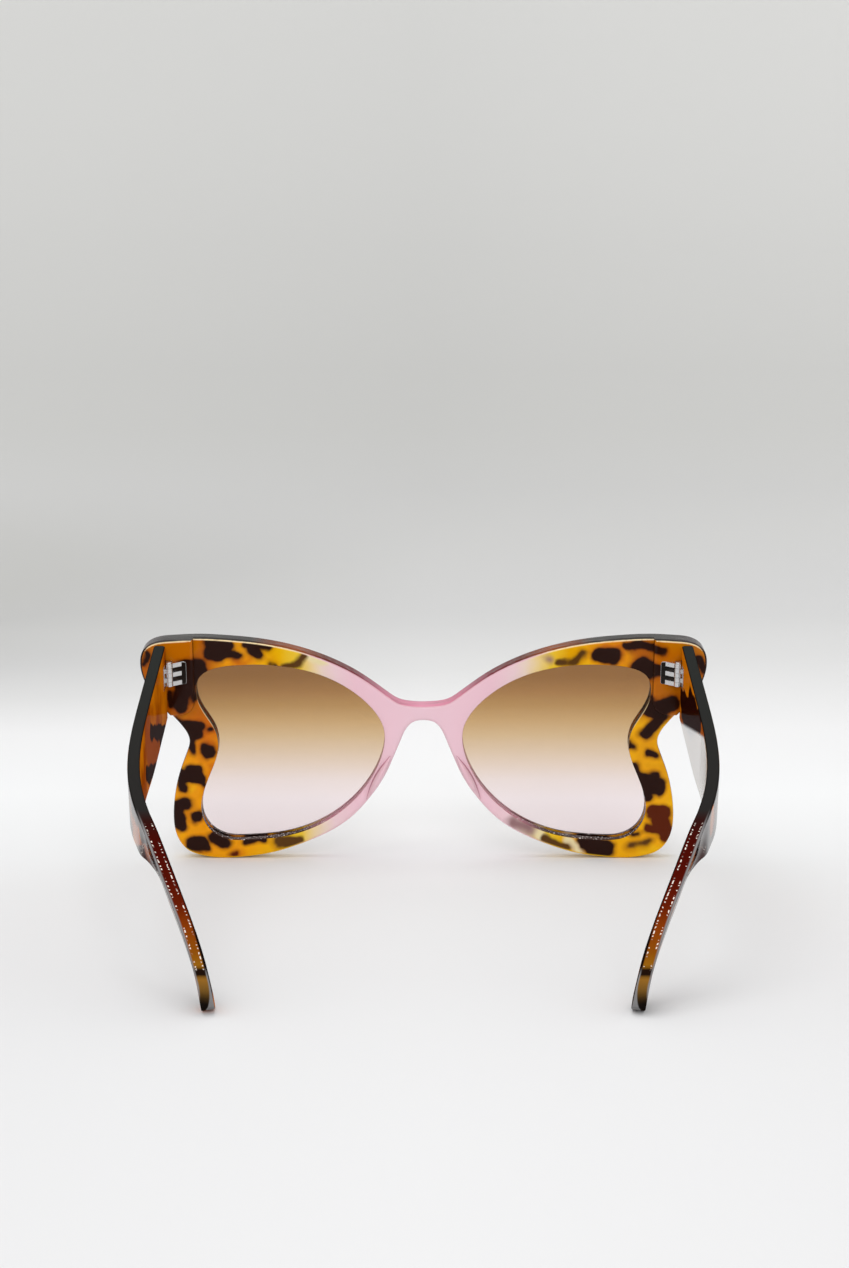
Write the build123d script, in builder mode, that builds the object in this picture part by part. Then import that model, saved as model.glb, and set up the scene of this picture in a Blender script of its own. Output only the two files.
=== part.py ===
from build123d import *
import os
from math import asin, cos, degrees, pi, radians, sin, sqrt

os.makedirs("parts", exist_ok=True)

# Butterfly sunglasses standing open on their rims and ear tips.
# +Z up, +Y the way the lenses look, the left side as worn at -X, millimetres and degrees.

# Front frame
front_width = 150.4
front_height = 62.9
rim_thickness = 5.0
front_lean = 7.5
front_edge_round = 1.2
back_edge_round = 0.8
opening_edge_round = 0.3

# Outline of one half of the front, from the middle of the top edge round to the middle of the
# bridge's underside, and the outline of a lens opening: shares of the half width and of the height
front_outline_shares = [
    (0.000, 0.698), (0.048, 0.701), (0.088, 0.712), (0.124, 0.739), (0.173, 0.784), (0.234, 0.835),
    (0.309, 0.884), (0.399, 0.928), (0.492, 0.960), (0.598, 0.983), (0.705, 0.995), (0.798, 1.000),
    (0.891, 0.995), (0.949, 0.984), (0.987, 0.952), (1.000, 0.895), (0.989, 0.820), (0.952, 0.736),
    (0.904, 0.666), (0.862, 0.607), (0.836, 0.539), (0.846, 0.488), (0.872, 0.405), (0.894, 0.297),
    (0.902, 0.192), (0.891, 0.100), (0.854, 0.037), (0.798, 0.010), (0.731, 0.000), (0.652, 0.005),
    (0.559, 0.022), (0.452, 0.062), (0.355, 0.113), (0.266, 0.184), (0.194, 0.278), (0.141, 0.374),
    (0.104, 0.475), (0.084, 0.534), (0.064, 0.588), (0.037, 0.622), (0.000, 0.631),
]
opening_outline_shares = [
    (0.632, 0.879), (0.543, 0.878), (0.459, 0.865), (0.374, 0.838), (0.291, 0.792), (0.218, 0.728),
    (0.168, 0.661), (0.142, 0.593), (0.140, 0.529), (0.160, 0.437), (0.213, 0.324), (0.299, 0.218),
    (0.399, 0.145), (0.512, 0.103), (0.636, 0.089), (0.721, 0.097), (0.774, 0.141), (0.799, 0.215),
    (0.789, 0.312), (0.757, 0.412), (0.734, 0.506), (0.745, 0.593), (0.783, 0.672), (0.807, 0.755),
    (0.793, 0.825), (0.734, 0.865),
]

# Hinge block, the thicker end of the front that the hinge is let into
block_thickness = 1.5
block_root = 2.0
block_inner_share = 0.812
block_bottom_share = 0.660
block_corner_round = 4.0

# Lens and its groove
lens_thickness = 1.8
lens_setback = 2.8
lens_curve_radius = 500.0
lens_blank_half_size = 36.0
lens_centre_shares = (0.472, 0.484)
groove_depth = 0.8
lens_clearance = 0.08
margin_station_count = 60

# Nose pad, and the places of its two tips and its middle on the front
pad_depth = 2.4
pad_width = 2.3
pad_station_count = 9
pad_end_share = 0.04
pad_top_shares = (0.114, 0.480)
pad_middle_shares = (0.161, 0.376)
pad_bottom_shares = (0.208, 0.264)

# Hinge
hinge_inset = 7.7
hinge_drop = 9.2
hinge_offset = 1.5
knuckle_count = 5
knuckle_radius = 1.25
knuckle_height = 1.2
knuckle_gap = 0.06
web_half_width = 0.6
front_leaf_reach = 4.6
front_leaf_depth = 2.2
front_leaf_proud = 0.25
neck_reach = 3.7
leaf_corner_round = 0.6
leaf_edge_round = 0.15
temple_leaf_thickness = 0.9
temple_leaf_length = 3.6
temple_leaf_proud = 0.1
screw_radius = 0.7
screw_clearance = 0.04
screw_head_radius = 1.05
screw_head_height = 0.5
screw_slot_width = 0.3
screw_slot_depth = 0.25
hinge_clearance = 0.15

# Temple
temple_slope = 14.0
temple_straight = 97.0
ear_bend_radius = 18.0
ear_bend_angle = 38.6
temple_thickness = 3.1
tip_thickness = 3.0
temple_corner_round = 0.7
temple_end_round = 0.4
temple_top_drop = 1.6
temple_inner_offset = 0.75
temple_gap = 0.1
blade_height = 20.5
ear_height = 9.4
taper_start = 30.0
taper_length = 78.0
temple_bow = 23.3
bow_start = 30.0
bow_power = 1.7
bow_finish = 0.9
station_count = 32
tip_turns = (0.0, 20.0, 38.0, 54.0, 68.0, 80.0)

# Core wire
core_radius = 0.8
core_start = 13.0
core_end_margin = 10.6
core_station_count = 26

# Overrun of cutting tools past the faces they cut, and the step used to measure a slope
overrun = 5.0
slope_step = 0.01

half_width = front_width / 2
hinge_x = half_width - hinge_inset
hinge_up = front_height - hinge_drop
hinge_pitch = knuckle_height + knuckle_gap
hinge_stack = knuckle_count * hinge_pitch - knuckle_gap
lean_cos, lean_sin = cos(radians(front_lean)), sin(radians(front_lean))

# The temple's top edge in side view: straight, then an arc, then the drop that ends at the ground
ear_slope = temple_slope + ear_bend_angle
tip_radius = ear_height / 2
bend_length = ear_bend_radius * radians(ear_bend_angle)
ground_lift = back_edge_round * (1 - lean_cos - lean_sin)
temple_up = front_height - temple_top_drop
temple_back = block_thickness + temple_gap


def sin_deg(angle):
    return sin(radians(angle))


def cos_deg(angle):
    return cos(radians(angle))


top_start_y = -temple_up * lean_sin - temple_back * lean_cos
top_start_z = temple_up * lean_cos - temple_back * lean_sin + ground_lift
bend_drop = ear_bend_radius * (cos_deg(temple_slope) - cos_deg(ear_slope))
bend_run = ear_bend_radius * (sin_deg(ear_slope) - sin_deg(temple_slope))
drop_start_y = top_start_y - temple_straight * cos_deg(temple_slope) - bend_run
drop_start_z = top_start_z - temple_straight * sin_deg(temple_slope) - bend_drop
drop_length = tip_radius + (drop_start_z - tip_radius * (1 + cos_deg(ear_slope))) / sin_deg(ear_slope)
rear_reach = drop_start_y - (drop_length - tip_radius) * cos_deg(ear_slope)
rear_reach += tip_radius * (sin_deg(ear_slope) - 1)

# The tip still slants inwards, so its outer edge reaches as much further as its middle is shortened
bowed_length = temple_straight + bend_length + drop_length - bow_start
bow_wave = 1 - cos(pi * bow_finish)
tip_slant = temple_bow * bow_power * pi * bow_finish * sin(pi * bow_finish) / bow_wave / bowed_length
drop_length -= tip_slant * (tip_thickness - temple_corner_round) / 2
temple_length = temple_straight + bend_length + drop_length

# The middle of the whole depth is at y = 0
fore_reach = (rim_thickness - front_edge_round) * lean_cos + front_edge_round * (1 - lean_sin)
front_y = -(rear_reach + fore_reach) / 2

# The back face of the front: local x across, y up the front, z towards the wearer
front_plane = Plane(origin=(0, front_y, ground_lift), x_dir=(1, 0, 0), z_dir=(0, -lean_cos, -lean_sin))

# The left hinge axis: local x across, y forwards, z up the axis
hinge_origin = front_plane.from_local_coords((-hinge_x, hinge_up, block_thickness + hinge_offset))
hinge_plane = Plane(origin=hinge_origin, x_dir=(1, 0, 0), z_dir=front_plane.y_dir)


def front_point(shares, side=1):
    return (side * shares[0] * half_width, shares[1] * front_height)


def front_outline():
    """The whole outline: one half's points, then the same points mirrored, on one closed curve"""
    right_points = [front_point(shares) for shares in front_outline_shares]
    left_points = [front_point(shares, -1) for shares in front_outline_shares[-2:0:-1]]
    with BuildLine() as edge:
        Spline(right_points + left_points, periodic=True)
    make_face(edge.edges())


def opening_outline(side, margin=0):
    """One lens opening, or the curve that runs margin outside it"""
    with BuildLine() as edge:
        opening = Spline([front_point(shares, side) for shares in opening_outline_shares], periodic=True)
    if margin:
        outside = []
        for index in range(margin_station_count):
            share = index / margin_station_count
            tangent = opening % share
            outside.append(opening @ share + Vector(tangent.Y, -tangent.X) * margin * side)
        with BuildLine() as edge:
            Spline(outside, periodic=True)
    make_face(edge.edges())


def slab(x_low, x_high, y_low, y_high, mode=Mode.ADD):
    """A rectangle between two corners"""
    with Locations(((x_low + x_high) / 2, (y_low + y_high) / 2)):
        Rectangle(x_high - x_low, y_high - y_low, mode=mode)


def lens_solid(margin, clearance):
    """The left lens, or with its clearance the groove it sits in, margin beyond the opening: a shell
    of two concentric spheres, turned about a line across the front so that no pole is in the lens"""
    x, y = front_point(lens_centre_shares, -1)
    sphere_centre = front_plane.from_local_coords((x, y, lens_curve_radius - lens_setback - lens_thickness))
    blank_angle = degrees(asin(lens_blank_half_size / lens_curve_radius))
    lower_up = front_plane.y_dir * cos_deg(blank_angle) - front_plane.z_dir * sin_deg(blank_angle)
    back_radius = lens_curve_radius - lens_thickness - clearance
    fore_radius = lens_curve_radius + clearance
    back_side = sqrt(back_radius**2 - lens_blank_half_size**2)
    fore_side = sqrt(fore_radius**2 - lens_blank_half_size**2)
    with BuildPart() as solid:
        with BuildSketch(Plane(origin=sphere_centre, x_dir=front_plane.x_dir, z_dir=lower_up)):
            with BuildLine():
                ThreePointArc(
                    (-lens_blank_half_size, fore_side), (0, fore_radius), (lens_blank_half_size, fore_side)
                )
                Line((lens_blank_half_size, fore_side), (lens_blank_half_size, back_side))
                ThreePointArc(
                    (lens_blank_half_size, back_side), (0, back_radius), (-lens_blank_half_size, back_side)
                )
                Line((-lens_blank_half_size, back_side), (-lens_blank_half_size, fore_side))
            make_face()
        revolve(axis=Axis(sphere_centre, front_plane.x_dir), revolution_arc=2 * blank_angle)
        with BuildSketch(front_plane.offset(overrun)):
            opening_outline(-1, margin)
        extrude(amount=-(rim_thickness + 2 * overrun), mode=Mode.INTERSECT)
    return solid.part


# Lens
with BuildPart() as left_lens:
    add(lens_solid(groove_depth - lens_clearance, 0))

# Hinge leaf on the front: a foot let into the block, and knuckles one, three and five on sloping necks
towards_wearer = Axis(front_plane.origin, front_plane.z_dir)
with BuildPart() as left_front_hinge_leaf:
    with BuildSketch(front_plane.offset(block_thickness + front_leaf_proud)):
        with Locations(((front_leaf_reach - web_half_width) / 2 - hinge_x, hinge_up)):
            RectangleRounded(front_leaf_reach + web_half_width, hinge_stack, leaf_corner_round)
    extrude(amount=-(front_leaf_proud + front_leaf_depth))
    fillet(left_front_hinge_leaf.faces().sort_by(towards_wearer)[-1].edges(), leaf_edge_round)
    for level in range(0, knuckle_count, 2):
        with BuildSketch(hinge_plane.offset(level * hinge_pitch - hinge_stack / 2)):
            Circle(knuckle_radius)
            with BuildLine():
                Polyline(
                    (-web_half_width, hinge_offset), (-web_half_width, 0),
                    (0, -knuckle_radius), (neck_reach, hinge_offset), close=True,
                )
            make_face()
        extrude(amount=knuckle_height)
    with BuildSketch(hinge_plane.offset(-hinge_stack / 2 - overrun)):
        Circle(screw_radius)
    extrude(amount=hinge_stack + 2 * overrun, mode=Mode.SUBTRACT)

# Hinge leaf on the temple: knuckles two and four and a plate let into the inner face
plate_front = -(knuckle_radius + 2 * hinge_clearance)
with BuildPart() as left_temple_hinge_leaf:
    for level in range(1, knuckle_count, 2):
        with BuildSketch(hinge_plane.offset(level * hinge_pitch - hinge_stack / 2)):
            Circle(knuckle_radius)
            slab(-knuckle_radius, 0, plate_front, 0)
        extrude(amount=knuckle_height)
    with BuildSketch(hinge_plane.offset(-hinge_stack / 2)):
        slab(
            -temple_inner_offset - temple_leaf_thickness,
            -temple_inner_offset + temple_leaf_proud,
            plate_front - temple_leaf_length,
            plate_front,
        )
    extrude(amount=hinge_stack)
    with BuildSketch(hinge_plane.offset(-hinge_stack / 2 - overrun)):
        Circle(screw_radius + screw_clearance)
    extrude(amount=hinge_stack + 2 * overrun, mode=Mode.SUBTRACT)

# Hinge screw: shank through the five knuckles, slotted head above
with BuildPart() as left_hinge_screw:
    with BuildSketch(hinge_plane.offset(-hinge_stack / 2)):
        Circle(screw_radius)
    extrude(amount=hinge_stack)
    with BuildSketch(hinge_plane.offset(hinge_stack / 2)):
        Circle(screw_head_radius)
    extrude(amount=screw_head_height)
    with BuildSketch(hinge_plane.offset(hinge_stack / 2 + screw_head_height - screw_slot_depth)):
        Rectangle(2 * screw_head_radius, screw_slot_width)
    extrude(amount=screw_head_height, mode=Mode.SUBTRACT)

# Hinge block of the left end piece
with BuildPart() as hinge_block:
    with BuildSketch(front_plane.offset(-block_root)) as hinge_block_sketch:
        front_outline()
        slab(
            -half_width - overrun,
            -block_inner_share * half_width,
            block_bottom_share * front_height,
            front_height + overrun,
            mode=Mode.INTERSECT,
        )
        fillet(hinge_block_sketch.vertices().sort_by(Axis.Y)[:2].sort_by(Axis.X)[-1], block_corner_round)
    extrude(amount=block_root + block_thickness)
    fillet(hinge_block.faces().sort_by(towards_wearer)[-1].edges(), back_edge_round)

# Front frame
with BuildPart() as front_frame:
    with BuildSketch(front_plane):
        front_outline()
    extrude(amount=-rim_thickness)
    fillet(front_frame.faces().sort_by(towards_wearer)[0].edges(), front_edge_round)
    fillet(front_frame.faces().sort_by(towards_wearer)[-1].edges(), back_edge_round)
    with BuildSketch(front_plane.offset(overrun)):
        opening_outline(-1)
        opening_outline(1)
    extrude(amount=-(rim_thickness + 2 * overrun), mode=Mode.SUBTRACT)
    for side_index in (0, -1):
        flat_face = front_frame.faces().sort_by(towards_wearer)[side_index]
        fillet(flat_face.inner_wires().edges(), opening_edge_round)
    add(hinge_block.part)
    mirror(hinge_block.part, about=Plane.YZ)
    groove = lens_solid(groove_depth, lens_clearance)
    add(groove, mode=Mode.SUBTRACT)
    mirror(groove, about=Plane.YZ, mode=Mode.SUBTRACT)
    add(left_front_hinge_leaf.part, mode=Mode.SUBTRACT)
    mirror(left_front_hinge_leaf.part, about=Plane.YZ, mode=Mode.SUBTRACT)

# Nose pad, bonded to the back of the rim beside the nose: half ellipses that swell and shrink
with BuildPart() as left_nose_pad:
    with BuildLine(front_plane, mode=Mode.PRIVATE) as pad_path:
        ThreePointArc(
            front_point(pad_top_shares, -1),
            front_point(pad_middle_shares, -1),
            front_point(pad_bottom_shares, -1),
        )
    pad_line = pad_path.edges()[0]
    for index in range(pad_station_count):
        share = pad_end_share + (1 - 2 * pad_end_share) * index / (pad_station_count - 1)
        tangent = pad_line % share
        across = front_plane.z_dir.cross(tangent)
        swell = sin(pi * share)
        with BuildSketch(Plane(origin=pad_line @ share, x_dir=across, z_dir=tangent)):
            with BuildLine():
                EllipticalCenterArc((0, 0), pad_width / 2 * swell, pad_depth * swell, arc_size=180)
                Line((-pad_width / 2 * swell, 0), (pad_width / 2 * swell, 0))
            make_face()
    loft()


def ease(share):
    """Smooth step from 0 to 1"""
    held = min(max(share, 0), 1)
    return held * held * (3 - 2 * held)


def top_edge(along):
    """Side-view place and slope of the temple's top edge, along it from its front end"""
    if along <= temple_straight:
        y = top_start_y - along * cos_deg(temple_slope)
        z = top_start_z - along * sin_deg(temple_slope)
        return y, z, temple_slope
    if along <= temple_straight + bend_length:
        slope = temple_slope + (along - temple_straight) / ear_bend_radius * 180 / pi
        y = drop_start_y + ear_bend_radius * (sin_deg(ear_slope) - sin_deg(slope))
        z = drop_start_z + ear_bend_radius * (cos_deg(slope) - cos_deg(ear_slope))
        return y, z, slope
    past = along - temple_straight - bend_length
    return drop_start_y - past * cos_deg(ear_slope), drop_start_z - past * sin_deg(ear_slope), ear_slope


def bow(along):
    """How far the temple has curved inwards: the first part of a half wave, up to bow_finish of it"""
    share = max(along - bow_start, 0) / (temple_length - bow_start)
    return temple_bow * (1 - cos(pi * bow_finish * share**bow_power)) / bow_wave


def top_point(along):
    y, z, slope = top_edge(along)
    across = -(hinge_x + temple_inner_offset + temple_thickness / 2) + bow(along)
    return Vector(across, y + front_y, z)


def station_plane(along, depth):
    """Section plane across the temple, its middle depth below the top edge"""
    slope = top_edge(along)[2]
    up = Vector(0, -sin_deg(slope), cos_deg(slope))
    tangent = (top_point(along + slope_step) - top_point(along - slope_step)).normalized()
    return Plane(origin=top_point(along) - up * depth, x_dir=up.cross(tangent), z_dir=tangent)


def temple_height(along):
    return blade_height - (blade_height - ear_height) * ease((along - taper_start) / taper_length)


def thickness_at(along):
    return temple_thickness - (temple_thickness - tip_thickness) * max(along, 0) / temple_length


# Core wire
with BuildPart() as left_core_wire:
    core_length = temple_length - core_end_margin - core_start
    for index in range(core_station_count):
        along = core_start + core_length * index / (core_station_count - 1)
        with BuildSketch(station_plane(along, temple_height(along) / 2)):
            Circle(core_radius)
    loft()

# Temple
with BuildPart() as left_temple:
    round_start = temple_length - tip_radius
    for index in range(station_count):
        along = -overrun + (round_start + overrun) * index / (station_count - 1)
        with BuildSketch(station_plane(along, temple_height(along) / 2)):
            RectangleRounded(thickness_at(along), temple_height(along), temple_corner_round)
    loft()
    for turn in tip_turns:
        along = round_start + tip_radius * sin_deg(turn)
        with BuildSketch(station_plane(along, tip_radius)):
            RectangleRounded(thickness_at(along), ear_height * cos_deg(turn), temple_corner_round)
    loft()
    split(bisect_by=front_plane.offset(temple_back), keep=Keep.TOP)
    fillet(left_temple.faces().sort_by(towards_wearer)[0].edges(), temple_end_round)
    with BuildSketch(hinge_plane.offset(-hinge_stack / 2 - 2 * hinge_clearance)):
        Circle(knuckle_radius + hinge_clearance)
    extrude(amount=hinge_stack + screw_head_height + 4 * hinge_clearance, mode=Mode.SUBTRACT)
    add(left_temple_hinge_leaf.part, mode=Mode.SUBTRACT)
    add(left_core_wire.part, mode=Mode.SUBTRACT)

front_frame.part.label = "front_frame"
export_step(front_frame.part, "parts/front_frame.step")

left_pieces = {
    "lens": left_lens,
    "nose_pad": left_nose_pad,
    "front_hinge_leaf": left_front_hinge_leaf,
    "temple_hinge_leaf": left_temple_hinge_leaf,
    "hinge_screw": left_hinge_screw,
    "temple": left_temple,
    "core_wire": left_core_wire,
}
for piece_name, left_piece in left_pieces.items():
    with BuildPart() as right_piece:
        mirror(left_piece.part, about=Plane.YZ)
    for side_name, piece in (("left", left_piece), ("right", right_piece)):
        piece.part.label = f"{side_name}_{piece_name}"
        export_step(piece.part, f"parts/{piece.part.label}.step")
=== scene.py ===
import math

import bmesh
import bpy
from mathutils import Euler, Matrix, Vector

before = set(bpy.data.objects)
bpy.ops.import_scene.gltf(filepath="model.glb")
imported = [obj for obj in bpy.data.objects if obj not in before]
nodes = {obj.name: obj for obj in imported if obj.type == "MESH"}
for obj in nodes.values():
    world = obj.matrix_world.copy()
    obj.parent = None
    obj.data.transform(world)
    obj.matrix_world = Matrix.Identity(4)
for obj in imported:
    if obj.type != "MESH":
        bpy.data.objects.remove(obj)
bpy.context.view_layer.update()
for imported in list(bpy.data.materials):
    bpy.data.materials.remove(imported)

# What materials read is in millimetres, and all else in metres
millimetres_in_metre = 1000

# Photograph and camera
photo_width, photo_height = 849, 1268
photo_centre = (photo_width / 2, photo_height / 2)
focal_pixels = 2265
sensor_size = 36.0
camera_place = Vector((0.00026, -0.5363, 0.160))
camera_pitch = math.radians(9.28)

# The back face of the front, which places in the photograph are read on
front_origin = Vector((0, 0.063663, -0.000098))
front_lean = math.radians(7.5)
front_up = Vector((0, -math.sin(front_lean), math.cos(front_lean)))
front_normal = Vector((0, math.cos(front_lean), math.sin(front_lean)))


def rgb(red, green, blue):
    """A linear colour from the red, green and blue that a picture shows, 0 to 255"""
    shares = [value / 255 for value in (red, green, blue)]
    linear = [s / 12.92 if s <= 0.04045 else ((s + 0.055) / 1.055) ** 2.4 for s in shares]
    return (*linear, 1.0)


# Where a Mix node has the two inputs that it mixes, and its output, for colours and for values
colour_inputs, colour_output = (6, 7), 2
value_inputs, value_output = (2, 3), 0


class Shader:
    """Short calls that add nodes to one material"""

    def __init__(self, name):
        self.material = bpy.data.materials.new(name)
        self.material.use_nodes = True
        self.tree = self.material.node_tree
        self.tree.nodes.clear()
        self.surface = self.add("ShaderNodeBsdfPrincipled")
        output = self.add("ShaderNodeOutputMaterial")
        self.tree.links.new(self.surface.outputs["BSDF"], output.inputs["Surface"])
        coordinates = self.add("ShaderNodeTexCoord")
        self.place = self.vector("SCALE", coordinates.outputs["Object"], scale=millimetres_in_metre)
        self.normal = coordinates.outputs["Normal"]
        self.normal_x, self.normal_y, self.normal_z = self.split(self.normal)

    def add(self, kind, **settings):
        node = self.tree.nodes.new(kind)
        for key, value in settings.items():
            setattr(node, key, value)
        return node

    def give(self, socket, value):
        if isinstance(value, bpy.types.NodeSocket):
            self.tree.links.new(value, socket)
        else:
            socket.default_value = value

    def set(self, **values):
        """Sets the surface's sockets: underscores stand for spaces"""
        for key, value in values.items():
            self.give(self.surface.inputs[key.replace("_", " ")], value)

    def math(self, operation, *values):
        node = self.add("ShaderNodeMath", operation=operation)
        for socket, value in zip(node.inputs, values):
            self.give(socket, value)
        return node.outputs[0]

    def product(self, *values):
        """Some values, multiplied"""
        result = values[0]
        for value in values[1:]:
            result = self.math("MULTIPLY", result, value)
        return result

    def size(self, value):
        """The value without its sign"""
        return self.math("ABSOLUTE", value)

    def without(self, share):
        """What a share leaves of 1"""
        return self.math("SUBTRACT", 1.0, share)

    def clamp(self, value):
        """The value, held between 0 and 1"""
        node = self.add("ShaderNodeClamp")
        self.give(node.inputs[0], value)
        return node.outputs[0]

    def vector(self, operation, *values, scale=None):
        node = self.add("ShaderNodeVectorMath", operation=operation)
        for socket, value in zip(node.inputs, values):
            self.give(socket, value)
        if scale is not None:
            self.give(node.inputs["Scale"], scale)
        single = operation in ("DOT_PRODUCT", "LENGTH", "DISTANCE")
        return node.outputs["Value" if single else "Vector"]

    def split(self, vector):
        node = self.add("ShaderNodeSeparateXYZ")
        self.give(node.inputs[0], vector)
        return node.outputs

    def join(self, x, y, z):
        node = self.add("ShaderNodeCombineXYZ")
        for socket, value in zip(node.inputs, (x, y, z)):
            self.give(socket, value)
        return node.outputs[0]

    def facing(self, direction):
        """How far the surface faces a direction: 1 is straight towards it, and -1 is away from it"""
        return self.vector("DOT_PRODUCT", self.normal, direction)

    def from_front(self, direction):
        """How far a place is from the front's origin along a direction, in millimetres"""
        offset = self.vector("SUBTRACT", self.place, millimetres_in_metre * front_origin)
        return self.vector("DOT_PRODUCT", offset, direction)

    def step(self, value, span, ends=(0.0, 1.0)):
        """Smooth change from the first end to the second as value goes through a span"""
        node = self.add("ShaderNodeMapRange", interpolation_type="SMOOTHSTEP")
        for socket, given in zip(node.inputs, (value, *span, *ends)):
            self.give(socket, given)
        return node.outputs[0]

    def blend(self, kind, inputs, output, share, first, second):
        node = self.add("ShaderNodeMix", data_type=kind)
        for index, value in zip((0, *inputs), (share, first, second)):
            self.give(node.inputs[index], value)
        return node.outputs[output]

    def mix(self, share, first, second):
        """A colour between two colours"""
        return self.blend("RGBA", colour_inputs, colour_output, share, first, second)

    def mix_value(self, share, first, second):
        """A number between two numbers"""
        return self.blend("FLOAT", value_inputs, value_output, share, first, second)

    def lay(self, colour, layer, *shares):
        """A colour with another one laid over it, as far as the product of some shares"""
        return self.mix(self.product(*shares), colour, layer)

    def noise(self, vector, scale, detail, seed=(0, 0, 0), coloured=False):
        """Noise whose scale is its count of features in a millimetre"""
        node = self.add("ShaderNodeTexNoise", noise_dimensions="3D")
        self.give(node.inputs["Vector"], self.vector("ADD", vector, seed))
        self.give(node.inputs["Scale"], scale)
        self.give(node.inputs["Detail"], detail)
        return node.outputs["Color"] if coloured else node.outputs[0]

    def share_of(self, value, span):
        """Where a value is in a span: 0 at or before its start, 1 at or after its end"""
        low, high = span
        return self.clamp(self.math("DIVIDE", self.math("SUBTRACT", value, low), high - low))

    def ramp(self, value, span, stops):
        """A colour for each place in a span"""
        low, high = span
        node = self.add("ShaderNodeValToRGB")
        places = node.color_ramp.elements
        while len(places) > 1:
            places.remove(places[-1])
        for index, (place, colour) in enumerate(stops):
            share = (place - low) / (high - low)
            element = places[0] if index == 0 else places.new(share)
            element.position = share
            element.color = colour
        self.give(node.inputs[0], self.share_of(value, span))
        return node.outputs[0]

    def curve(self, value, span, heights, places):
        """The line through some places: the value is in the span, and the line within the heights"""
        low, high = span
        least, most = heights
        node = self.add("ShaderNodeFloatCurve")
        points = node.mapping.curves[0].points
        wide, tall = high - low, most - least
        scaled = sorted(((at - low) / wide, (given - least) / tall) for at, given in places)
        points[0].location, points[1].location = scaled[0], scaled[-1]
        for place in scaled[1:-1]:
            points.new(*place)
        node.mapping.update()
        self.give(node.inputs["Value"], self.share_of(value, span))
        return self.math("MULTIPLY_ADD", node.outputs[0], tall, least)

    def bump(self, height, strength, distance):
        node = self.add("ShaderNodeBump")
        self.give(node.inputs["Strength"], strength)
        self.give(node.inputs["Distance"], distance)
        self.give(node.inputs["Height"], height)
        self.set(Normal=node.outputs[0])


# Spots: how much wider than the photographed ones they are laid, how near each other two strokes
# flow together in millimetres, the least square of a stroke's length, and the row of the photograph
# where a pixel's size is taken
stroke_growth = 1.3
stroke_merge = 1.6
least_length_squared = 0.01
pixel_row = 740
# The noises that shift spots, each with its scale and its reach in millimetres
sway_noises = ((0.16, 3.2), (0.55, 0.7))
sway_detail = 1.0
noise_middle = (0.5, 0.5, 0.5)


def on_front(u, v):
    """Across and up the front, in millimetres, of a pixel of the photograph"""
    ray = Vector(((u - photo_centre[0]) / focal_pixels, -(v - photo_centre[1]) / focal_pixels, -1))
    ray.rotate(Euler((math.pi / 2 - camera_pitch, 0, 0)))
    reach = (front_origin - camera_place).dot(front_normal) / ray.dot(front_normal)
    place = camera_place + ray * reach - front_origin
    return millimetres_in_metre * place.x, millimetres_in_metre * place.dot(front_up)


def in_millimetres(strokes):
    """Strokes over the photograph's pixels, laid on the front and grown a little"""
    middle = photo_centre[0]
    pixel_size = on_front(middle + 1, pixel_row)[0] - on_front(middle, pixel_row)[0]
    return [
        (*on_front(u_start, v_start), *on_front(u_end, v_end), half_width * pixel_size * stroke_growth)
        for u_start, v_start, u_end, v_end, half_width in strokes
    ]


def strokes_distance(shader, point, strokes):
    """Distance to the nearest of some strokes, each a line between two places with a half width"""
    nearest = None
    for x_start, y_start, x_end, y_end, half_width in strokes:
        start = Vector((x_start, y_start, 0))
        run = Vector((x_end, y_end, 0)) - start
        offset = shader.vector("SUBTRACT", point, start)
        run_share = run / max(run.length_squared, least_length_squared)
        along = shader.vector("DOT_PRODUCT", offset, run_share)
        reach = shader.vector("SCALE", run, scale=shader.clamp(along))
        distance = shader.vector("LENGTH", shader.vector("SUBTRACT", offset, reach))
        distance = shader.math("SUBTRACT", distance, half_width)
        if nearest is not None:
            distance = shader.math("SMOOTH_MIN", nearest, distance, stroke_merge)
        nearest = distance
    return nearest


def wavy(shader, flat, seed):
    """A flat place, shifted by noise so that spots laid on it have uneven rims"""
    shifted = flat
    for scale, reach in sway_noises:
        noise = shader.noise(flat, scale, sway_detail, seed, coloured=True)
        shift = shader.vector("SCALE", shader.vector("SUBTRACT", noise, noise_middle), scale=reach)
        shifted = shader.vector("ADD", shifted, shift)
    return shifted


# Polished acetate: scale and detail of its noises, and the depth of its waves in metres
acetate_ior = 1.49
haze_noise = (0.35, 3.0)
haze_span = (0.3, 0.7)
wave_noise = (0.5, 2.0)
wave_strength, wave_depth = 0.05, 0.0002


def polish(shader, roughness):
    """Gives acetate its gloss, uneven between two values of roughness, and faint waves"""
    haze = shader.noise(shader.place, *haze_noise)
    shader.set(Roughness=shader.step(haze, haze_span, roughness), IOR=acetate_ior)
    shader.bump(shader.noise(shader.place, *wave_noise), wave_strength, wave_depth)


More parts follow.
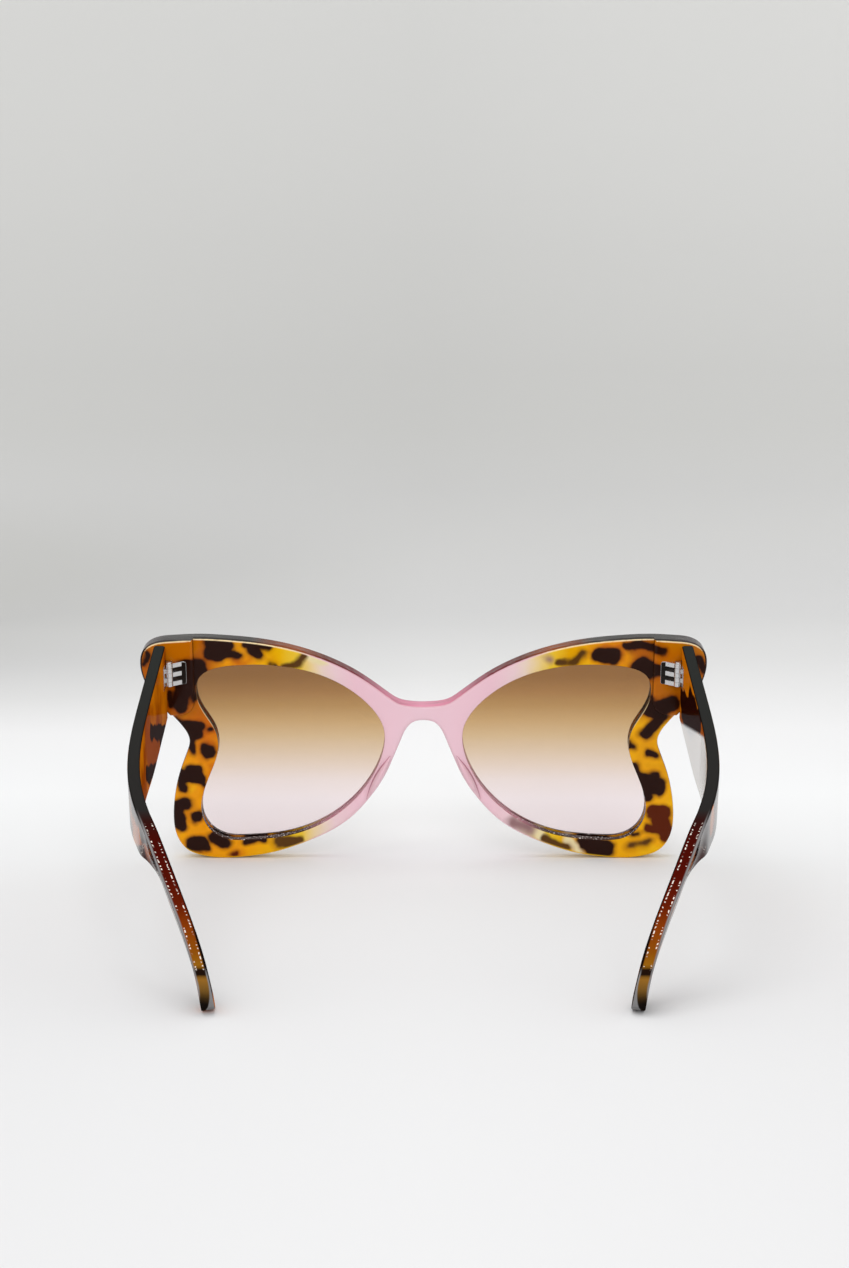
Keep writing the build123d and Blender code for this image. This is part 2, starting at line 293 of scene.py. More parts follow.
# Spots of the front, as strokes over the photograph: start, end and half width in pixels
dark_strokes = [
    (211.6, 645.5, 224.4, 645.5, 7), (211.6, 653, 221.8, 654, 6), (224, 652, 238, 658, 3.6),
    (181, 666, 199.5, 664.6, 5.7), (190, 673.6, 199, 671, 7), (183.6, 686, 181, 704, 6.4),
    (196.3, 674.8, 192.5, 689, 2.8), (192.5, 689, 195, 698, 2.3), (243.5, 644, 270, 647.4, 2.8),
    (251, 649, 257.6, 654.4, 4.5), (269.7, 663.4, 274, 663.4, 2), (186, 727, 201.4, 726, 3.8),
    (190, 734.8, 196.3, 733.5, 5.7), (191, 741, 192.5, 749, 3.2), (176, 720, 187, 729, 3.4),
    (211, 729, 211.2, 729.2, 2.2), (207.7, 748, 212.5, 748, 4.2), (207.7, 752.5, 212.5, 752, 4.2),
    (190, 768, 197.6, 767.4, 3.6), (183.6, 775.7, 197.6, 777, 6.4), (199, 778, 203.3, 786, 2.6),
    (181, 784.6, 182, 789, 3.8), (178.5, 805, 186, 803.8, 4.5), (179, 811.4, 179.7, 823, 5.6),
    (196.7, 814.3, 197, 818.5, 4), (193.8, 843.3, 202.7, 844.6, 6.2), (216.7, 838, 224.4, 842, 5.2),
    (247.3, 841.4, 264, 840.8, 2.8), (599, 656, 612.4, 656, 6.2), (625.8, 646, 638, 644.7, 3.6),
    (638, 643.4, 662, 648.7, 3.2), (638, 664.8, 644.5, 662, 6), (644.5, 664.8, 659.3, 668.8, 4.6),
    (638, 668.8, 648.6, 674, 4), (651, 706.3, 671.3, 702.3, 6.5), (662, 705, 671.3, 698.3, 5.2),
    (648.6, 710.4, 658, 713, 4.5), (662, 715.7, 646, 734.5, 4.7), (650.6, 697, 647, 707.7, 2.7),
    (628.5, 746.5, 633, 746.5, 1.8), (630.5, 741, 630.5, 744, 1.5), (649, 754.5, 655.3, 755, 3.2),
    (634.5, 767, 641, 780, 4.2), (643, 783, 658, 787, 6.7), (644.5, 793.6, 646, 797.6, 3.7),
    (654, 776, 655, 778, 3.3), (583, 843, 608.4, 845.8, 4.7), (592.3, 850, 608.4, 850, 6),
    (632, 834, 636, 833, 2.6), (170.5, 693, 170, 705, 2.6), (699, 656, 702, 668, 3),
    (148, 652, 145, 661, 2.6),
]
red_brown_strokes = [
    (654, 812, 664.6, 811, 5.6), (660.6, 820, 664.6, 833.7, 6.7), (647, 828.4, 655, 829.7, 4),
    (233, 855, 236, 855, 2.4),
]
brown_strokes = [
    (284, 664.6, 297, 664.6, 2.6), (297, 664.6, 302, 657, 3.2), (280.5, 842, 297, 839.5, 5.2),
    (558.8, 661.5, 573.6, 661.5, 2.8), (573.6, 661.5, 581.6, 655.4, 3), (547, 838, 564, 847, 4),
    (631, 847, 648, 843, 2.5),
]
mauve_strokes = [(513, 822, 530, 829, 4.6), (548, 658.8, 549, 659, 3)]
cream_strokes = [(538, 831, 544, 838, 4), (568, 840, 578, 851, 4), (310, 655, 322, 662, 5)]
# Layers of spots on the front, lowest first: strokes, colour, softness of the rims in millimetres,
# whether a halo is round them and whether light is kept from passing through
spot_layers = (
    (cream_strokes, rgb(246, 230, 180), 0.7, False, False),
    (mauve_strokes, rgb(156, 118, 120), 1.4, False, False),
    (brown_strokes, rgb(92, 58, 16), 0.6, True, False),
    (red_brown_strokes, rgb(88, 30, 4), 0.4, True, True),
    (dark_strokes, rgb(38, 15, 8), 0.4, True, True),
)
halo_colour = rgb(150, 62, 4)
halo_width_in_rims = 3
halo_share = 0.5

# Colours of the front's faces, and of its top edge, whose tints are darkened there as painted shade, by
# the distance from the middle plane
front_span = (0, 76)
face_colours = [
    (0, rgb(251, 214, 226)), (18, rgb(251, 208, 221)), (24, rgb(250, 218, 223)),
    (27, rgb(248, 224, 208)), (30, rgb(248, 220, 160)), (33.5, rgb(246, 206, 56)),
    (38, rgb(247, 190, 8)), (46, rgb(249, 172, 4)), (60, rgb(248, 160, 3)), (76, rgb(248, 170, 4)),
]
top_edge_shade_colours = [
    (0, rgb(218, 146, 168)), (10, rgb(200, 120, 143)), (18, rgb(116, 46, 56)), (26, rgb(96, 36, 24)),
    (34, rgb(140, 70, 30)), (41, rgb(104, 50, 20)), (45, rgb(50, 47, 45)), (66, rgb(52, 50, 48)),
    (76, rgb(66, 52, 56)),
]
# Colours laid over those
deep_amber = rgb(214, 108, 3)
pale_amber, pale_share = rgb(252, 202, 16), 0.6
golden_amber, golden_share = rgb(252, 192, 10), 0.55
block_amber, block_share = rgb(184, 92, 3), 0.8
# Painted shade on the walls that turn sideways, round the lens openings and at the edges
pink_wall_shade, amber_wall_shade = rgb(200, 120, 142), rgb(56, 24, 10)
# Painted highlight along the edges that face down, a glow as if lit through the acetate
pink_glow_highlight, amber_glow_highlight, glow_highlight_share = rgb(250, 205, 215), rgb(255, 200, 30), 0.8
# Painted highlight along the upper lip of the back face
pink_lip_highlight, amber_lip_highlight = rgb(235, 190, 200), rgb(252, 226, 176)
# Painted shade on the sills under the lenses
pink_sill_shade, amber_sill_shade = rgb(190, 120, 136), rgb(58, 30, 16)
# Painted shade on the sideways faces at the ends, in the gap by the temples
end_shade_colour = rgb(30, 10, 5)
# Painted reflections, streaked along the top edge
streak_reflection_colour, streak_reflection_share = rgb(120, 118, 116), 0.3
# Painted glints on the sills
sill_glint_colour = rgb(240, 235, 232)
# Where they start and where they are full, in millimetres out from the middle plane (reach), to the
# wearer's right of it (across) and up the back face (up)
amber_reach = (34, 44)
golden_across, golden_up = (38, 52), (46, 38)
block_reach, block_up = (52, 57), (38, 43)
clear_reach, clear_shares = (22, 44), (0.15, 0.1)
outer_reach = (28, 36)
glow_highlight_up = (26, 18)
lip_highlight_up = (34, 40)
end_shade_reach, end_shade_up = (66, 69), (34, 38)
sill_shade_reach, sill_shade_up = (24, 34), (32, 28)
# How far a face has to turn for them: shares of the direction that is named where they are used
wall_shade_turn = (0.6, 0.3)
glow_highlight_turn = (-0.3, -0.7)
lip_highlight_turn, wearer_turn = (0.05, 0.3), (-0.3, -0.6)
end_shade_turn = (0.25, 0.5)
top_turn = (0.35, 0.6)
# Noises, with their scale, detail and seed, and the spans of them that show
spot_seed = (3.1, 7.7, 0)
cloud_noise = (0.09, 3.0, (9.3, 1.2, 4.0))
deep_clouds, pale_clouds = (0.48, 0.72), (0.44, 0.3)
streak_noise, streak_span = (0.8, 1.0), (0.5, 0.66)
streak_stretch = (0.05, 1.6, 1.6)
spark_noise, spark_span = (2.4, 0.0, (4, 4, 4)), (0.7, 0.74)
front_roughness = (0.06, 0.13)
front_specular = 0.1


def amber_faces(shader, flat, reach, across, up):
    """Clouds and zones of the front's amber, over the tints that fade to pink, and the amber's share"""
    clouds = shader.noise(flat, *cloud_noise)
    amber = shader.step(reach, amber_reach)
    colour = shader.ramp(reach, front_span, face_colours)
    colour = shader.lay(colour, deep_amber, amber, shader.step(clouds, deep_clouds))
    colour = shader.lay(colour, pale_amber, amber, shader.step(clouds, pale_clouds), pale_share)
    golden = shader.product(shader.step(across, golden_across), shader.step(up, golden_up))
    colour = shader.lay(colour, golden_amber, golden, golden_share)
    block = shader.product(shader.step(reach, block_reach), shader.step(up, block_up))
    return shader.lay(colour, block_amber, block, block_share), amber


def front_faces(shader, up):
    """Colour, clearness and reach of the front's faces: tortoise ends that fade to a pink middle"""
    across = shader.split(shader.place)[0]
    flat = shader.join(across, up, 0.0)
    point = wavy(shader, flat, spot_seed)
    reach = shader.size(shader.split(point)[0])
    colour, amber = amber_faces(shader, flat, reach, across, up)
    clear = shader.step(reach, clear_reach, clear_shares)
    for strokes, spot_colour, softness, haloed, opaque in spot_layers:
        distance = strokes_distance(shader, point, in_millimetres(strokes))
        if haloed:
            halo = shader.step(distance, (halo_width_in_rims * softness, 0), (0.0, halo_share))
            colour = shader.lay(colour, halo_colour, halo, amber)
        spot = shader.step(distance, (softness, -softness))
        colour = shader.lay(colour, spot_colour, spot)
        if opaque:
            clear = shader.product(clear, shader.without(spot))
    return colour, clear, reach


def front_top_edge(shader, reach, up):
    """Colour of the front's top edge, darkened as painted shade and streaked with painted reflections,
    and, lower down, of the sills under the lenses, painted shade with painted glints
    """
    edge = shader.ramp(reach, front_span, top_edge_shade_colours)
    # Painted reflections in streaks along the top edge
    reflection_streaks = shader.noise(shader.vector("MULTIPLY", shader.place, streak_stretch), *streak_noise)
    edge = shader.lay(edge, streak_reflection_colour, shader.step(reflection_streaks, streak_span), streak_reflection_share)
    # Painted glints, sparkling on the sills
    sill_glints = shader.step(shader.noise(shader.place, *spark_noise), spark_span)
    # Painted shade on the sills under the lenses, pink in the middle and dark brown further out
    sill_shade = shader.mix(shader.step(reach, sill_shade_reach), pink_sill_shade, amber_sill_shade)
    sill_shade = shader.lay(sill_shade, sill_glint_colour, sill_glints)
    return shader.lay(edge, sill_shade, shader.step(up, sill_shade_up))


def front_material():
    """Polished laminated acetate, with painted shade on its top edge, sills, sideways walls and ends, and
    painted highlights along its lower edges and upper lip
    """
    shader = Shader("front_acetate")
    up = shader.from_front(front_up)
    colour, clear, reach = front_faces(shader, up)
    outer = shader.step(reach, outer_reach)
    outwards = shader.facing(front_normal)
    # Painted shade on the walls that turn sideways
    wall_shade = shader.mix(outer, pink_wall_shade, amber_wall_shade)
    colour = shader.lay(colour, wall_shade, shader.step(shader.size(outwards), wall_shade_turn))
    # Painted highlight along the lower edges that face down
    glow_highlight = shader.mix(outer, pink_glow_highlight, amber_glow_highlight)
    downwards = shader.step(shader.normal_z, glow_highlight_turn)
    colour = shader.lay(colour, glow_highlight, downwards, shader.step(up, glow_highlight_up), glow_highlight_share)
    # Painted highlight along the upper lip of the back face
    lip_highlight = shader.mix(outer, pink_lip_highlight, amber_lip_highlight)
    upper = shader.product(shader.step(shader.normal_z, lip_highlight_turn), shader.step(up, lip_highlight_up))
    colour = shader.lay(colour, lip_highlight, upper, shader.step(outwards, wearer_turn))
    # Painted shade on the sideways faces at the ends, in the gap by the temples
    sideways = shader.step(shader.size(shader.normal_x), end_shade_turn)
    far_out = shader.product(shader.step(reach, end_shade_reach), shader.step(up, end_shade_up))
    colour = shader.lay(colour, end_shade_colour, sideways, far_out)
    upwards = shader.step(shader.normal_z, top_turn)
    # Painted shade on the top edge, where the faces turn upwards
    colour = shader.lay(colour, front_top_edge(shader, reach, up), upwards)
    clear = shader.product(clear, shader.without(upwards))
    shader.set(Base_Color=colour, Transmission_Weight=clear, Specular_IOR_Level=front_specular)
    polish(shader, front_roughness)
    return shader.material


# Painted reflections of the front's dark spots on the inner face of each temple: places along y and z,
# and half widths, in millimetres
reflected_spot_strokes = {
    "left": [(20, 44.2, 50, 37.6, 2.1), (40, 38, 46, 36.6, 2.4), (8, 36.2, 32, 31.4, 2.3)],
    "right": [
        (52, 47, 26, 46.6, 3.2), (50, 43.5, 30, 42.5, 2.6), (24, 44.5, 18, 46, 2.0),
        (34, 50.5, 12, 47.5, 2.8),
    ],
}
temple_rim_softness = 0.4
# The run of a temple from its hinge to its tip: places grow along it in millimetres
temple_run = (0, -1.0, -0.8)
# Colours of a temple's top edge along the run: charcoal near the hinge, which is painted shade, then deep
# red to amber with dark bands towards the tip
run_span = (-110, 70)
run_colours = [
    (-110, rgb(46, 48, 46)), (6, rgb(42, 40, 39)), (12, rgb(48, 20, 17)), (20, rgb(66, 12, 7)),
    (32, rgb(78, 15, 6)), (40, rgb(96, 27, 7)), (46, rgb(128, 54, 9)), (53, rgb(132, 72, 12)),
    (57, rgb(142, 92, 18)), (58, rgb(30, 17, 10)), (59.5, rgb(30, 17, 10)), (60.5, rgb(140, 96, 34)),
    (63.5, rgb(112, 80, 34)), (65.5, rgb(22, 17, 14)),
]
# Its other colours
light_amber, dark_amber = rgb(206, 116, 6), rgb(150, 66, 4)
# Dark of the tortoise spots, also used for the painted reflections of the front's spots
spot_and_reflection_colour = rgb(36, 10, 6)
# Horn tint, lighter than the amber, partly a painted reflection of the pale table
horn_and_reflection_colour = rgb(142, 122, 102)
# Painted shade along the rounded corners of the temples' tops
corner_shade_colour = rgb(14, 10, 9)
# Painted glints off the core wire
glint_colour = rgb(244, 232, 220)
# Painted reflection of the pale table along the outer side of the top
outer_strip_reflection = rgb(140, 138, 138)
# Painted shade along the inner side of the top, then a painted reflection there near the tip
inner_strip_shade, inner_strip_reflection = rgb(22, 12, 10), rgb(132, 130, 130)
# Free spots on the temples: their noise, where the run reaches the rear, what the noise has to pass,
# how much that changes at the rear, and how sharp their rims are
free_noise, free_stretch = (0.11, 1.5), (1.0, 0.8, 1.0)
rear_run = (-22, 0)
free_least, free_rear_change = 0.53, -0.12
free_sharpness = 25.0
temple_cloud_noise, temple_cloud_span = (0.06, 3.0), (0.36, 0.6)
# Horn-coloured zone of the right inner face, a pale tint that is partly a painted reflection of the pale
# table: below a line that drops towards the front
horn_and_reflection_slope = 0.135
horn_and_reflection_below, horn_and_reflection_y = (47.5, 46.3), (-40, -28)
# Painted glints off the core wire: two rows of bright beads beside the top's middle line, with breaks
bead_offset, bead_row = 0.8, (0.2, 0.08)
bead_start, bead_stop = (12, 15), (58.5, 57.5)
bead_radians, bead_span = 5.2, (0.2, 0.7)
bead_noise, bead_unevenness = (0.9, 1.0, (2, 9, 4)), 14.0
break_noise, break_span = (0.3, 2.0, (7, 7, 7)), (0.44, 0.52)
# Strips along both sides of the top, of painted reflection and painted shade: how far out from its middle
# line, and where along the run
outer_strip_across, outer_strip_run = (0.95, 1.3), (4, 16)
inner_strip_across, inner_strip_run = (-0.9, -1.2), (40, 50)
pale_strip_run = (57, 60)
# How far a temple's faces have to turn for the colours, as shares of the direction
inner_turn = (0.2, 0.6)
upwards_turn, level_turn = (0.3, 0.5), (0.6, 0.8)
backwards_turn = (-0.3, -0.6)
# The coat that carries the temples' gloss: its weight outside, inside and on the horn-coloured zone,
# which is partly a painted reflection, its roughness, and how far it leans towards the front
outer_coat, inner_coat, horn_and_reflection_coat = 0.7, 0.03, 1.0
coat_roughness = 0.06
coat_lean = (0, 0.047, 0)
temple_roughness = (0.08, 0.18)
# The top's middle line: the spans that it lies in along y and out from the middle plane, the length
# of the bands it is taken from, how deep the top goes in one, and how its faces turn
middle_line_y, middle_line_x = (-75, 65), (40, 75)
band_length = 4.0
top_depth = 6.0
top_least_upwards, top_most_sideways = 0.3, 0.2


def top_middle(name):
    """The middle line of a temple's top: places along y, and how far from the middle plane"""
    bands = {}
    for polygon in nodes[name].data.polygons:
        if polygon.normal.z > top_least_upwards and abs(polygon.normal.x) < top_most_sideways:
            place = millimetres_in_metre * polygon.center
            bands.setdefault(round(place.y / band_length), []).append((polygon.area, place))
    middle = []
    for band in bands.values():
        highest = max(place.z for area, place in band)
        top = [(area, place) for area, place in band if place.z > highest - top_depth]
        total = sum(area for area, place in top)
        y = sum(area * place.y for area, place in top) / total
        middle.append((y, sum(area * abs(place.x) for area, place in top) / total))
    return middle


def temple_faces(shader, side, sign, inner, run):
    """Tortoise of a temple's inner and outer face, with painted reflections of the front's dark spots on
    the inner face and, on the right, a horn tint that is partly a painted reflection, and that zone's
    share
    """
    x, y, z = shader.split(shader.place)
    rim_seed, cloud_seed = (1.0, 5.0 + sign, 2.0), (2.2, 6.1 * sign, 3.0)
    point = wavy(shader, shader.join(y, z, 0.0), rim_seed)
    # Painted reflections of the front's dark spots, on the inner face only
    distance = strokes_distance(shader, point, reflected_spot_strokes[side])
    reflected_spots = shader.step(distance, (temple_rim_softness, -temple_rim_softness))
    waves = shader.noise(shader.vector("MULTIPLY", shader.place, free_stretch), *free_noise)
    rear = shader.step(run, rear_run)
    least = shader.math("MULTIPLY_ADD", rear, free_rear_change, free_least)
    free = shader.clamp(shader.product(shader.math("SUBTRACT", waves, least), free_sharpness))
    free = shader.product(free, shader.mix_value(inner, 1.0, rear))
    spots_and_reflections = shader.math("MAXIMUM", shader.product(reflected_spots, inner), free)
    clouds = shader.noise(shader.place, *temple_cloud_noise, cloud_seed)
    amber = shader.mix(shader.step(clouds, temple_cloud_span), light_amber, dark_amber)
    horn_and_reflection = 0.0
    # Horn tint on the right inner face, partly a painted reflection of the pale table
    if side == "right":
        below = shader.step(shader.math("MULTIPLY_ADD", y, horn_and_reflection_slope, z), horn_and_reflection_below)
        horn_and_reflection = shader.product(below, shader.step(y, horn_and_reflection_y), inner)
        amber = shader.lay(amber, horn_and_reflection_colour, horn_and_reflection)
    return shader.lay(amber, spot_and_reflection_colour, spots_and_reflections), horn_and_reflection


def temple_edge(shader, side, run):
    """Colours of a temple's top edge: bands along it, charcoal painted shade near the hinge, strips of
    painted shade and painted reflection, and painted glints off the core wire
    """
    x, y, z = shader.split(shader.place)
    # Charcoal near the hinge is painted shade
    edge = shader.ramp(run, run_span, run_colours)
    middle = shader.curve(y, middle_line_y, middle_line_x, top_middle(f"{side}_temple"))
    across = shader.math("SUBTRACT", shader.size(x), middle)
    # Painted glints off the core wire, in two dotted rows
    from_row = shader.size(shader.math("SUBTRACT", shader.size(across), bead_offset))
    between = shader.product(shader.step(run, bead_start), shader.step(run, bead_stop))
    row = shader.product(shader.step(from_row, bead_row), between)
    uneven = shader.product(shader.noise(shader.place, *bead_noise), bead_unevenness)
    glint_beads = shader.math("SINE", shader.math("MULTIPLY_ADD", run, bead_radians, uneven))
    glint_beads = shader.step(glint_beads, bead_span)
    breaks = shader.step(shader.noise(shader.place, *break_noise), break_span)
    edge = shader.lay(edge, glint_colour, row, glint_beads, breaks)
    # Painted reflection of the pale table along the outer side of the top
    outer_strip = shader.step(across, outer_strip_across)
    edge = shader.lay(edge, outer_strip_reflection, outer_strip, shader.step(run, outer_strip_run))
    # Painted shade along the inner side, turning to a painted reflection near the tip
    strip = shader.mix(shader.step(run, pale_strip_run), inner_strip_shade, inner_strip_reflection)
    inner_strip = shader.step(across, inner_strip_across)
    return shader.lay(edge, strip, inner_strip, shader.step(run, inner_strip_run))


def temple_material(name, side, sign):
    """Tortoise acetate of a temple, redder and, as painted shade, darker along its top edge, with painted
    glints and reflections there and painted reflections on its inner face
    """
    shader = Shader(name)
    inner = shader.step(shader.product(shader.normal_x, -sign), inner_turn)
    run = shader.vector("DOT_PRODUCT", shader.place, temple_run)
    faces, horn_and_reflection = temple_faces(shader, side, sign, inner, run)
    edge = temple_edge(shader, side, run)
    upwards = shader.step(shader.normal_z, upwards_turn)
    backwards = shader.step(shader.normal_y, backwards_turn)
    # Painted shade along the rounded corners of the top
    corner_shade = shader.mix(shader.step(shader.normal_z, level_turn), corner_shade_colour, edge)
    colour = shader.lay(shader.lay(faces, corner_shade, upwards), edge, backwards)
    shader.set(Base_Color=colour, Specular_IOR_Level=0.0, Coat_Roughness=coat_roughness)
    coat = shader.mix_value(inner, outer_coat, shader.mix_value(horn_and_reflection, inner_coat, horn_and_reflection_coat))
    ends = shader.math("MAXIMUM", upwards, backwards)
    shader.set(Coat_Weight=shader.product(coat, shader.without(ends)))
    spaces = {"convert_from": "OBJECT", "convert_to": "WORLD"}
    turned = shader.add("ShaderNodeVectorTransform", vector_type="NORMAL", **spaces)
    shader.give(turned.inputs[0], shader.vector("ADD", shader.normal, coat_lean))
    shader.set(Coat_Normal=turned.outputs[0])
    polish(shader, temple_roughness)
    return shader.material


# Lenses: their tint at the heights where the front has some rows of the photograph, in one column
# of it, and how far below those heights it is laid, in millimetres
lens_rows = (
    (825, (0.96, 0.855, 0.87, 1)), (800, (0.95, 0.85, 0.86, 1)), (780, (0.89, 0.77, 0.735, 1)),
    (765, (0.825, 0.67, 0.56, 1)), (750, (0.755, 0.575, 0.405, 1)), (735, (0.685, 0.48, 0.27, 1)),
    (720, (0.61, 0.385, 0.17, 1)), (705, (0.505, 0.285, 0.10, 1)), (690, (0.415, 0.205, 0.063, 1)),
    (675, (0.335, 0.152, 0.04, 1)),
)
lens_column = 300
lens_drop = 1.2
lens_span = (0, 63)
lens_ior = 1.5
lens_specular = 0.1
smear_noise, smear_span = (0.05, 3.0), (0.4, 0.8)
lens_roughness = (0.0, 0.02)


def lens_material():
    """Clear lens graded from brown at the top to pale pink at the bottom"""
    shader = Shader("gradient_lens")
    stops = [(on_front(lens_column, row)[1] - lens_drop, shade) for row, shade in lens_rows]
    tint = shader.ramp(shader.from_front(front_up), lens_span, stops)
    shader.set(Base_Color=tint, Transmission_Weight=1.0, IOR=lens_ior, Specular_IOR_Level=lens_specular)
    smears = shader.noise(shader.place, *smear_noise)
    shader.set(Roughness=shader.step(smears, smear_span, lens_roughness))
    return shader.material


# Nose pads: two pinks that their clouds mix, and the rose of their edges, which is painted shade
pad_pink, pad_deeper_pink = rgb(253, 216, 226), rgb(248, 198, 212)
pad_noise = (0.3, 2.0)
pad_edge_shade, pad_edge_shade_turn = rgb(196, 120, 142), (0.4, 0.15)
pad_clear = 0.2
pad_roughness = 0.08
pad_specular = 0.25


def pad_material():
    """Pink acetate of the nose pads"""
    shader = Shader("pad_acetate")
    colour = shader.mix(shader.noise(shader.place, *pad_noise), pad_pink, pad_deeper_pink)
    outwards = shader.size(shader.facing(front_normal))
    # Painted shade on the edges that turn sideways
    colour = shader.lay(colour, pad_edge_shade, shader.step(outwards, pad_edge_shade_turn))
    shader.set(Base_Color=colour, Transmission_Weight=pad_clear, Roughness=pad_roughness)
    shader.set(IOR=acetate_ior, Specular_IOR_Level=pad_specular)
    return shader.material


# Metals: the bright and the dull colour and the scale of the lines of each
silver_colours, silver_scale = ((0.86, 0.86, 0.87, 1), (0.45, 0.44, 0.44, 1)), 2.0
wire_colours, wire_scale = ((0.85, 0.80, 0.70, 1), (0.55, 0.48, 0.38, 1)), 3.0
# The lines of both, with the depth of their bumps in metres
line_stretch = (1, 1, 6)
line_detail = 3.0
line_span, metal_roughness = (0.3, 0.7), (0.12, 0.28)
line_strength, line_depth = 0.1, 0.0001
# Painted shade in the recess between the knuckles: where it starts and is full, from the front's back
# face on, with less than 0 behind that face, and how its floor turns
recess_shade_colour = (0.035, 0.03, 0.028, 1)
recess_place, recess_turn = (-2.1, -1.8), (-0.8, -0.95)


def metal_material(name, colours, scale, recess=False):
    """Polished or drawn metal with fine lines, with painted shade between the knuckles where it has a
    recess
    """
    shader = Shader(name)
    lines = shader.noise(shader.vector("MULTIPLY", shader.place, line_stretch), scale, line_detail)
    shade = shader.mix(lines, *colours)
    if recess:
        # Painted shade in the recess between the knuckles
        sunk = shader.step(shader.from_front(front_normal), recess_place)
        turned = shader.step(shader.facing(front_normal), recess_turn)
        shade = shader.lay(shade, recess_shade_colour, sunk, turned)
    shader.set(Base_Color=shade, Metallic=1.0)
    shader.set(Roughness=shader.step(lines, line_span, metal_roughness))
    shader.bump(lines, line_strength, line_depth)
    return shader.material


# Stage: a table, a bend with its steps and an upright backdrop, in metres
table_start = -3.0
bend_start = 0.48
bend_radius = 0.3
bend_steps = 24
stage_top = 2.0
stage_half_width = 2.5
# Its colours, by the way back over the table and up the backdrop (far), in millimetres: painted light and
# shade, brightest near the glasses and greyer up the backdrop
far_span = (-40, 1100)
far_colours = [
    (-40, rgb(231, 231, 232)), (30, rgb(235, 236, 237)), (140, rgb(247, 248, 249)),
    (236, rgb(244, 244, 245)), (354, rgb(228, 228, 228)), (500, rgb(215, 215, 215)),
    (605, rgb(207, 207, 206)), (680, rgb(200, 200, 199)), (750, rgb(197, 197, 195)),
    (810, rgb(197, 197, 195)), (920, rgb(203, 203, 201)), (1087, rgb(216, 216, 214)),
]
# Painted light and shade that change towards both sides and, added to that, towards the wearer's right,
# for each millimetre
bend_shift = (0.4, -0.65)
bend_shift_start, bend_shift_end = (200, 420), (700, 560)
backdrop_light, backdrop_far = (0.00023, 0.0001), (560, 700)
table_light, table_far = (-0.00026, 0.0001), (460, 360)
grain_noise = (0.004, 2.0, (5, 5, 5))
grain_depth, grain_base = 0.02, -0.01
stage_roughness = 0.9
stage_specular = 0.1


def sidewards(shader, x, change):
    """A value that changes towards both sides and, added to that, towards the wearer's right"""
    both_sides, right = change
    return shader.math("MULTIPLY_ADD", shader.size(x), both_sides, shader.product(x, right))


def stage_material():
    """Matt white table that turns into an upright backdrop, with painted light and shade: brightest near
    the glasses, greyer up the backdrop and changing towards the sides
    """
    shader = Shader("studio_sweep")
    x, y, z = shader.split(shader.place)
    far = shader.math("ADD", y, z)
    # Painted light and shade: brightest near the glasses, greyer up the backdrop, changing towards the
    # sides
    at_bend = shader.product(shader.step(far, bend_shift_start), shader.step(far, bend_shift_end))
    shift = shader.product(sidewards(shader, x, bend_shift), at_bend)
    colour = shader.ramp(shader.math("ADD", far, shift), far_span, far_colours)
    backdrop = shader.product(sidewards(shader, x, backdrop_light), shader.step(far, backdrop_far))
    table = shader.product(sidewards(shader, x, table_light), shader.step(far, table_far))
    grain = shader.math("MULTIPLY_ADD", shader.noise(shader.place, *grain_noise), grain_depth, grain_base)
    light = shader.math("ADD", backdrop, shader.clamp(shader.math("ADD", table, 1.0)))
    colour = shader.vector("SCALE", colour, scale=shader.math("ADD", light, grain))
    shader.set(Base_Color=colour, Roughness=stage_roughness, Specular_IOR_Level=stage_specular)
    return shader.material


def build_stage():
    """One sheet: a flat table, a curve and an upright backdrop"""
    profile = [(table_start, 0.0)]
    for index in range(bend_steps + 1):
        angle = math.pi / 2 * index / bend_steps
        profile.append((bend_start + bend_radius * math.sin(angle), bend_radius * (1 - math.cos(angle))))
    profile.append((bend_start + bend_radius, stage_top))
    mesh = bmesh.new()
    sides = (-stage_half_width, stage_half_width)
    rows = [[mesh.verts.new((x, y, z)) for x in sides] for y, z in profile]
    for lower, upper in zip(rows, rows[1:]):
        mesh.faces.new((lower[0], lower[1], upper[1], upper[0]))
    data = bpy.data.meshes.new("studio_sweep")
    mesh.to_mesh(data)
    mesh.free()
    for polygon in data.polygons:
        polygon.use_smooth = True
    sweep = bpy.data.objects.new("studio_sweep", data)
    bpy.context.scene.collection.objects.link(sweep)
    data.materials.append(stage_material())


# Light: strength and colour of the dome, the grey that it shows and what the lamps aim at, then each
# lamp's name, power in watts, and size and place in metres
dome_strength = 0.68
dome_colour = (1, 1, 1, 1)
shown_grey = rgb(225, 225, 224)
lamp_target = Vector((0, 0, 0.03))
lamps = (
    ("key", 6.6, 1.2, Vector((-0.25, -0.15, 1.3))),
    ("fill", 9.0, 1.0, Vector((0.1, -1.6, 0.95))),
)


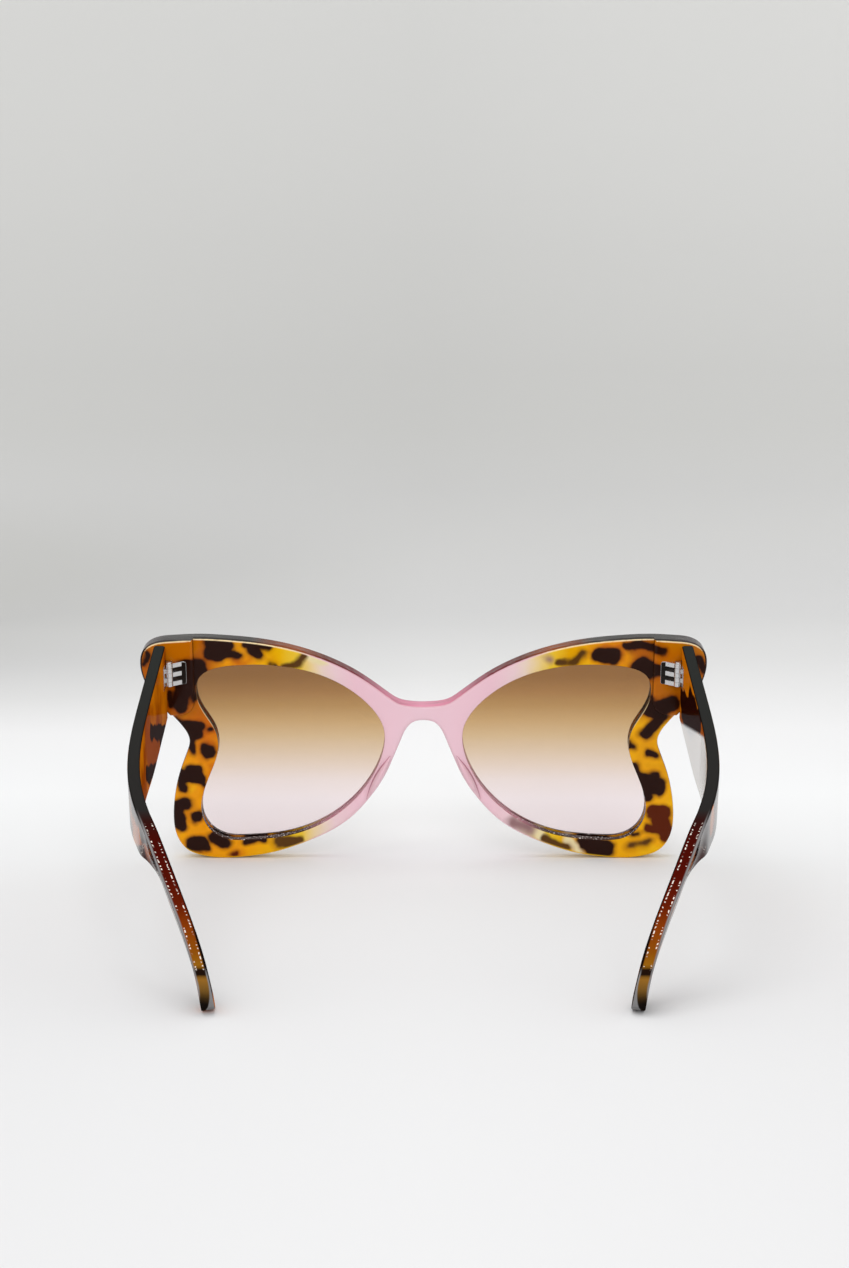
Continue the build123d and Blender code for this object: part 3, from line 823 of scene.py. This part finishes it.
def build_dome():
    """A pale dome, which shows as plain grey to the camera and through the lenses"""
    world = bpy.data.worlds.new("studio")
    bpy.context.scene.world = world
    world.use_nodes = True
    tree = world.node_tree
    tree.nodes.clear()
    output = tree.nodes.new("ShaderNodeOutputWorld")
    light = tree.nodes.new("ShaderNodeBackground")
    light.inputs["Strength"].default_value = dome_strength
    light.inputs["Color"].default_value = dome_colour
    shown = tree.nodes.new("ShaderNodeBackground")
    shown.inputs["Color"].default_value = shown_grey
    path = tree.nodes.new("ShaderNodeLightPath")
    seen = tree.nodes.new("ShaderNodeMath")
    seen.operation = "ADD"
    seen.use_clamp = True
    tree.links.new(path.outputs["Is Camera Ray"], seen.inputs[0])
    tree.links.new(path.outputs["Is Transmission Ray"], seen.inputs[1])
    mixed = tree.nodes.new("ShaderNodeMixShader")
    for index, source in enumerate((seen, light, shown)):
        tree.links.new(source.outputs[0], mixed.inputs[index])
    tree.links.new(mixed.outputs[0], output.inputs["Surface"])


def place_lamps():
    """Large square lamps, aimed at the middle of the glasses"""
    for name, power, size, place in lamps:
        lamp = bpy.data.lights.new(name, "AREA")
        lamp.energy = power
        lamp.size = size
        panel = bpy.data.objects.new(name, lamp)
        bpy.context.scene.collection.objects.link(panel)
        panel.location = place
        panel.rotation_euler = (lamp_target - place).to_track_quat("-Z", "Y").to_euler()


def place_camera():
    """The camera that took the photograph, as its perspective gives it"""
    data = bpy.data.cameras.new("photo_camera")
    data.sensor_width = sensor_size
    data.lens = focal_pixels / photo_height * sensor_size
    camera = bpy.data.objects.new("photo_camera", data)
    bpy.context.scene.collection.objects.link(camera)
    camera.location = camera_place
    camera.rotation_euler = (math.pi / 2 - camera_pitch, 0, 0)
    bpy.context.scene.camera = camera


def dress(name, material):
    """Gives a node its material"""
    data = nodes[name].data
    data.materials.clear()
    data.materials.append(material)


def main():
    bpy.context.scene.view_settings.view_transform = "Standard"
    place_camera()
    build_dome()
    place_lamps()
    build_stage()
    dress("front_frame", front_material())
    lens, pad = lens_material(), pad_material()
    silver = metal_material("hinge_metal", silver_colours, silver_scale, recess=True)
    wire = metal_material("core_metal", wire_colours, wire_scale)
    for side, sign in (("left", -1), ("right", 1)):
        dress(f"{side}_lens", lens)
        dress(f"{side}_nose_pad", pad)
        dress(f"{side}_temple", temple_material(f"{side}_temple_acetate", side, sign))
        dress(f"{side}_core_wire", wire)
        for piece in ("front_hinge_leaf", "temple_hinge_leaf", "hinge_screw"):
            dress(f"{side}_{piece}", silver)


main()
